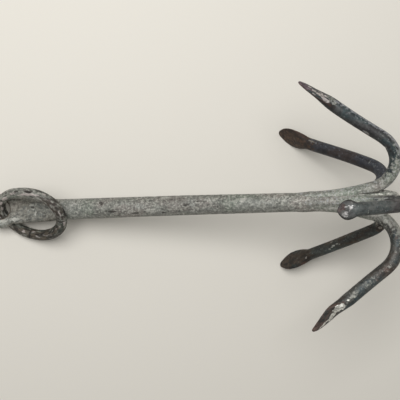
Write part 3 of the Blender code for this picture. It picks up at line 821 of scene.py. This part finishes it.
def mixed(tree, share, under, over):
    # one colour over another by a share
    return addNode(tree, "Mix", {"data_type": "RGBA"}, {0: share, 6: under, 7: over}).outputs[2]


def added(tree, value, gain, other):
    # a value times its gain, plus another
    return addNode(tree, "Math", {"operation": "MULTIPLY_ADD"}, {0: value, 1: gain, 2: other}).outputs[0]


def layerOf(tree, name, output="Fac"):
    # one of the mesh's own layers
    return addNode(tree, "Attribute", {"attribute_name": name}).outputs[output]


# grain sizes in millimetres, then detail, roughness and how many times longer the grain is along the bar;
# the speck is drawn no finer than shows from a metre off
patterns = {
    "cloud": (26.0, 3.0, 0.50, 1.5),
    "mottle": (9.0, 5.0, 0.60, 1.4),
    "crust": (4.6, 4.0, 0.65, 1.0),
    "speck": (2.7, 3.0, 0.60, 1.0),
    "streak": (2.4, 3.0, 0.55, 9.0),
}
reliefValues = {"mottle": 1.4, "speck": 0.45, "height": 0.0006}


def forgedFinish(name, coats):
    # every coat is a base colour with marks where a pattern rises past a height, and it covers the coats
    # under it where its own pattern plus its share of a layer does; roughness, metal and relief ride in one
    # colour
    material = bpy.data.materials.new(name)
    material.use_nodes = True
    tree = material.node_tree
    tree.nodes.clear()
    place = layerOf(tree, "place", "Vector")
    grain = {}
    for key, (size, detail, roughness, longer) in patterns.items():
        scale = 1.0 / (size * millimetre)
        scaled = addNode(tree, "Mapping", {}, {"Vector": place, "Scale": (scale / longer, scale, scale)})
        inputs = {"Vector": scaled.outputs[0], "Scale": 1.0, "Detail": detail, "Roughness": roughness}
        grain[key] = addNode(tree, "TexNoise", {}, inputs).outputs["Fac"]
    colour, surface = None, None
    for coat in coats:
        own = coat["base"]
        for pattern, low, high, strength, shade in coat["marks"]:
            own = mixed(tree, stepped(tree, grain[pattern], low, high, strength), own, shade)
        if colour is None:
            colour, surface = own, (*coat["surface"], 1.0)
            continue
        layer, gain, pattern, low, high, strength = coat["cover"]
        share = stepped(tree, added(tree, layerOf(tree, layer), gain, grain[pattern]), low, high, strength)
        colour = mixed(tree, share, colour, own)
        surface = mixed(tree, share, surface, (*coat["surface"], 1.0))
    toned = addNode(tree, "VectorMath", {"operation": "SCALE"}, {
        "Vector": colour, "Scale": layerOf(tree, "tone")}).outputs[0]
    split = addNode(tree, "SeparateColor", {}, {"Color": surface}).outputs
    relief = added(tree, grain["mottle"], reliefValues["mottle"], grain["crust"])
    relief = added(tree, grain["speck"], reliefValues["speck"], relief)
    bump = addNode(tree, "Bump", {}, {
        "Height": relief, "Strength": split["Blue"], "Distance": reliefValues["height"]}).outputs[0]
    shader = addNode(tree, "BsdfPrincipled", {}, {
        "Base Color": toned, "Roughness": split["Red"], "Metallic": split["Green"], "Normal": bump})
    addNode(tree, "OutputMaterial", {}, {"Surface": shader.outputs[0]})
    return material


# coats from the iron out: "surface" is roughness, metal and relief; "cover" is layer, gain, pattern, low,
# high and strength; each of the "marks" is pattern, low, high, strength and colour
def scaleCoat(base, light, dark, tint, warm):
    # blue-black forge scale: a dull sheen with broad cloudy tints, cold in one place and brown in the next
    return {
        "base": base, "surface": (0.55, 0.3, 0.6),
        "marks": (
            ("cloud", 0.5, 0.57, 0.8, tint), ("cloud", 0.48, 0.41, 0.75, warm),
            ("mottle", 0.5, 0.61, 0.5, light), ("mottle", 0.48, 0.38, 0.6, dark),
            ("crust", 0.53, 0.62, 0.45, light), ("crust", 0.47, 0.38, 0.5, dark),
            ("streak", 0.55, 0.65, 0.3, light))}


def brownCoat(base, light, dark):
    # old rubbed rust on bare forged iron: dry and matt, with no metal in it
    return {
        "base": base, "surface": (0.72, 0.05, 0.6), "cover": ("rust", 0.45, "mottle", 0.66, 0.84, 0.92),
        "marks": (
            ("mottle", 0.5, 0.58, 0.65, light), ("crust", 0.48, 0.41, 0.75, dark),
            ("crust", 0.52, 0.6, 0.6, light), ("speck", 0.46, 0.39, 0.65, dark),
            ("speck", 0.55, 0.62, 0.55, light))}


# weathered hot-dipped zinc: dull chalky grey with darker pits and pale crystals
zincCoat = {
    "base": "#7E7E77", "surface": (0.6, 0.2, 0.85), "cover": ("zinc", 0.5, "crust", 0.66, 0.8, 1),
    "marks": (
        ("cloud", 0.51, 0.6, 0.6, "#747F72"), ("cloud", 0.48, 0.4, 0.55, "#867C77"),
        ("mottle", 0.51, 0.62, 0.4, "#8E8E86"), ("mottle", 0.48, 0.38, 0.45, "#6C6C66"),
        ("streak", 0.55, 0.65, 0.35, "#63635D"), ("crust", 0.52, 0.6, 0.65, "#A3A39A"),
        ("crust", 0.47, 0.39, 0.65, "#585953"), ("speck", 0.55, 0.63, 0.55, "#C0C0B5"),
        ("speck", 0.45, 0.37, 0.6, "#444540"))}
# zinc that weathered evenly: the same grey with only a faint grain
calmCoat = {
    "base": "#7F807A", "surface": (0.56, 0.22, 0.45), "cover": ("calm", 0.4, "mottle", 0.62, 0.86, 0.75),
    "marks": (
        ("mottle", 0.51, 0.62, 0.45, "#8E908A"), ("mottle", 0.48, 0.38, 0.45, "#6C6E6A"),
        ("streak", 0.54, 0.64, 0.4, "#676863"), ("crust", 0.53, 0.62, 0.55, "#A0A19A"),
        ("crust", 0.47, 0.39, 0.5, "#5C5D58"), ("speck", 0.54, 0.62, 0.4, "#B2B2A8"),
        ("speck", 0.45, 0.37, 0.4, "#4E4F4A"))}
# zinc thinned and browned by the rope: smoother and warmer than the crusted coat
rubbedCoat = {
    "base": "#6C6960", "surface": (0.55, 0.25, 0.6), "cover": ("rubbed", 0.6, "mottle", 0.62, 0.8, 0.85),
    "marks": (
        ("cloud", 0.51, 0.58, 0.6, "#666C6B"), ("cloud", 0.48, 0.41, 0.5, "#6F665D"),
        ("mottle", 0.51, 0.6, 0.6, "#827E74"), ("mottle", 0.48, 0.39, 0.6, "#57534B"),
        ("crust", 0.52, 0.6, 0.6, "#959188"), ("crust", 0.47, 0.39, 0.6, "#48453E"),
        ("streak", 0.54, 0.63, 0.45, "#928F85"), ("streak", 0.45, 0.37, 0.35, "#4E4A43"),
        ("speck", 0.55, 0.63, 0.3, "#A5A399"), ("speck", 0.45, 0.37, 0.4, "#403D37"))}


def fleckCoat(base, light, dark):
    # zinc salts and thick drips: chalky and pale, or what is left of them on the darker bars
    return {
        "base": base, "surface": (0.62, 0.1, 0.8), "cover": ("bright", 0.45, "speck", 0.64, 0.8, 0.85),
        "marks": (("crust", 0.53, 0.61, 0.6, light), ("crust", 0.47, 0.39, 0.5, dark))}


def bareAndGlintCoat(base, dark):
    # iron rubbed bare at the points: bright and smooth, so that it mirrors the lamp softly; on the facets,
    # the top head and a spade's shoulder the bright colour is painted highlight
    return {
        "base": base, "surface": (0.44, 0.45, 0.45), "cover": ("worn", 0.55, "crust", 0.7, 0.9, 1),
        "marks": (
            ("speck", 0.49, 0.41, 0.65, dark), ("streak", 0.52, 0.61, 0.6, dark),
            ("crust", 0.47, 0.39, 0.5, dark))}


# soil and old grease: brown-black and dry, held in pits and laps; the same colour stands as painted shade
# in the laps, inside the eye's hole and at the tines' shaded rims, neck and crease
soilAndShadeCoat = {
    "base": "#282420", "surface": (0.8, 0.05, 0.5), "cover": ("dirtAndShade", 0.42, "crust", 0.66, 0.86, 0.85),
    "marks": (("crust", 0.53, 0.62, 0.5, "#38322B"),)}
# fresh rust where the spades' edges are knocked: a thin warm line
edgeCoat = {
    "base": "#54392D", "surface": (0.7, 0.05, 0.5), "cover": ("edge", 0.4, "mottle", 0.76, 0.9, 0.65),
    "marks": (("crust", 0.53, 0.62, 0.5, "#6E5141"),)}
# the ring's warm scale, dry brown rust and pinkish zinc salts, and the shank's greyer salts
ringScale = ("#504D46", "#68655C", "#302D29", "#49524B", "#544840")
ringBrown = ("#544A3E", "#6C6152", "#2F2822")
ringFleck = ("#B9AFAA", "#D6CCC6", "#918983")
shankFleck = ("#A9A8A0", "#C6C4BA", "#8B8A83")

# the shank: pale mottled zinc with calm stretches, rubbed dull on the blade, dark in its pits, with painted
# shade in the crease at the crown and inside the eye's hole
zincMaterial = forgedFinish("weatheredGalvanisedZinc", (
    scaleCoat(*tines["tineRightUpper"]["scale"]), zincCoat, calmCoat, rubbedCoat, fleckCoat(*shankFleck),
    brownCoat(*ringBrown), soilAndShadeCoat))
# the ring: coarse dark iron with the zinc left only on its high places
ringMaterial = forgedFinish("pittedGalvanisedWroughtIron", (
    scaleCoat(*ringScale), zincCoat, brownCoat(*ringBrown), fleckCoat(*ringFleck), rubbedCoat, soilAndShadeCoat))


def tineMaterial(name, tine):
    # a tine: blue-black scale under the crown's last zinc, brown at the spade and bright where rubbed; part
    # of the bright is painted highlight, and part of the dark is painted shade at rims, necks and creases
    return forgedFinish("forgeScaledIron" + name.removeprefix("tine"), (
        scaleCoat(*tine["scale"]), zincCoat, brownCoat(*tine["brown"]), edgeCoat, fleckCoat(*tine["fleck"]),
        soilAndShadeCoat, bareAndGlintCoat(*tine["bareAndGlint"])))


def dress(piece, material, body, node):
    # the piece's only material, the node that it stands for and the body that it rides on
    piece.data.materials.clear()
    piece.data.materials.append(material)
    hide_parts(node)
    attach(piece, body)


lines = {name: rootLine(tine, tineShape) for name, tine in tines.items()}
shank = makeShank(shankValues, list(lines.values()))
dress(shank, zincMaterial, "anchor", "shank")
print("shank made")
lines["shank"] = shankLine(shankValues)
for tineName, tineValues in tines.items():
    others = [line for name, line in lines.items() if name != tineName]
    tinePiece = makeTine(tineName, tineValues, tineShape, others)
    dress(tinePiece, tineMaterial(tineName, tineValues), "anchor", tineValues["node"])
print("tines made:", len(tines))
dress(makeRing(ringValues), ringMaterial, "ring", "ring")
print("ring made")

studio = {"floor": "#D8D4CB", "floorSide": 6.0, "floorRoughness": 0.9, "sky": "#EFEEEB", "skyStrength": 0.38,
          "keyPlace": (-0.20, 0.60, 1.7), "keySide": 1.3, "keyPower": 33.0}


def plainFloor(values):
    # one level square round the origin; its paper is matt and warm, so that only the soft shadow shows
    half = 0.5 * values["floorSide"]
    corners = np.array([(-half, -half, 0.0), (half, -half, 0.0), (half, half, 0.0), (-half, half, 0.0)])
    piece = meshObject("floor", corners, [(0, 1, 2, 3)], {})
    material = bpy.data.materials.new("paleSeamlessPaper")
    material.use_nodes = True
    shader = material.node_tree.nodes["Principled BSDF"]
    shader.inputs["Base Color"].default_value = linear(values["floor"])
    shader.inputs["Roughness"].default_value = values["floorRoughness"]
    piece.data.materials.append(material)


def softLight(name, place, side, power):
    # a square lamp whose own downward axis is turned towards the origin
    lamp = bpy.data.lights.new(name, "AREA")
    lamp.shape, lamp.size, lamp.energy = "SQUARE", side, power
    holder = placed(name, lamp)
    holder.location = place
    aim = -np.array(place)
    holder.rotation_euler = (math.acos(aim[2] / np.linalg.norm(aim)) - math.pi, 0.0,
                             math.atan2(aim[1], aim[0]) + 0.5 * math.pi + math.pi)


plainFloor(studio)
softLight("key", studio["keyPlace"], studio["keySide"], studio["keyPower"])
world = bpy.data.worlds.new("studio")
world.use_nodes = True
sky = world.node_tree.nodes["Background"].inputs
sky["Color"].default_value = linear(studio["sky"])
sky["Strength"].default_value = studio["skyStrength"]
bpy.context.scene.world = world
bpy.context.scene.view_settings.view_transform = "Standard"
print("floor and light set")

bpy.context.view_layer.update()
